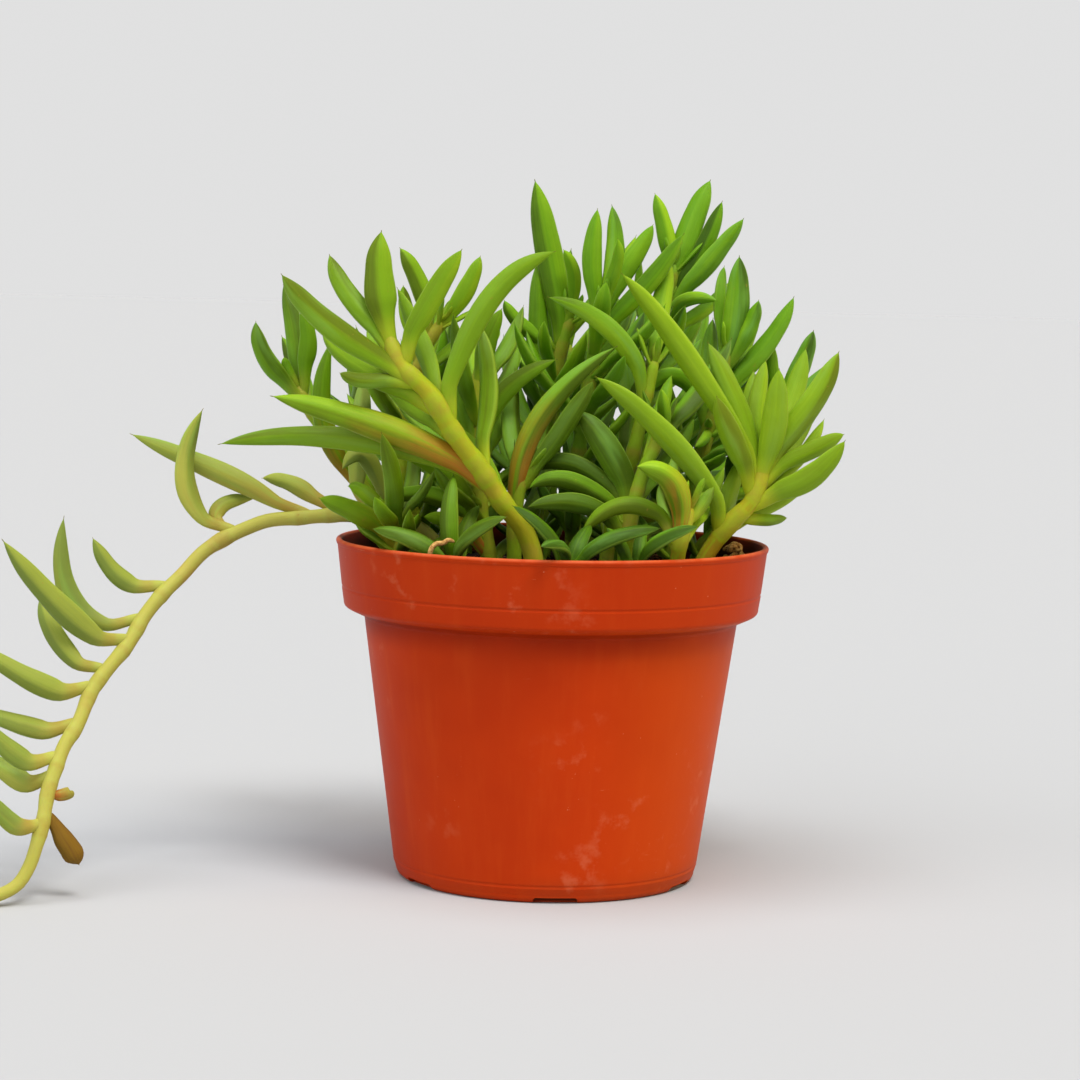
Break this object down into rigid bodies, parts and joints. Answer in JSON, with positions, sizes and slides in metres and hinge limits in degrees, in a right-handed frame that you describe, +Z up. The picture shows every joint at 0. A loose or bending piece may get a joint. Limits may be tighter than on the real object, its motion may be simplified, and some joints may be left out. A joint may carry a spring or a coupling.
{
  "type": "potted string of fishhooks",
  "caption": "Trailing succulent with hooked fleshy leaves in a thin round nursery pot; one stem arches over the rim and lies along the surface.",
  "frame": {"origin": "centre of the pot's flat foot, on the surface it stands on", "axes": "+Z up the pot's axis, +X towards the side away from the trailing stem, +Y to the back, away from the side where the trailing stem comes forward"},
  "size_m": [0.2353, 0.1578, 0.1707],
  "materials": {
    "pot_plastic": "satin",
    "potting_mix": "matte",
    "leafy_stem": "satin",
    "trailing_stem": "satin"
  },
  "bodies": {
    "root": {"pot": "pot_plastic", "soil": "potting_mix", "stem_left_leader": "leafy_stem", "stem_left_inner": "leafy_stem", "stem_left_back": "leafy_stem", "stem_rim_left": "leafy_stem", "stem_mid_left": "leafy_stem", "stem_centre_tall": "leafy_stem", "stem_centre": "leafy_stem", "stem_right_tall": "leafy_stem", "stem_right_upper": "leafy_stem", "stem_right_back": "leafy_stem", "stem_right_front": "leafy_stem", "stem_front_right": "leafy_stem", "stem_front_centre": "leafy_stem", "stem_front_left": "leafy_stem", "stem_centre_front": "leafy_stem", "stem_back_left": "leafy_stem", "stem_back_centre": "leafy_stem", "stem_back_right": "leafy_stem", "stem_back_low": "leafy_stem", "stem_front_low_left": "leafy_stem", "stem_front_low_middle": "leafy_stem", "stem_front_low_right": "leafy_stem", "stem_trailing": "trailing_stem"}
  },
  "joints": []
}
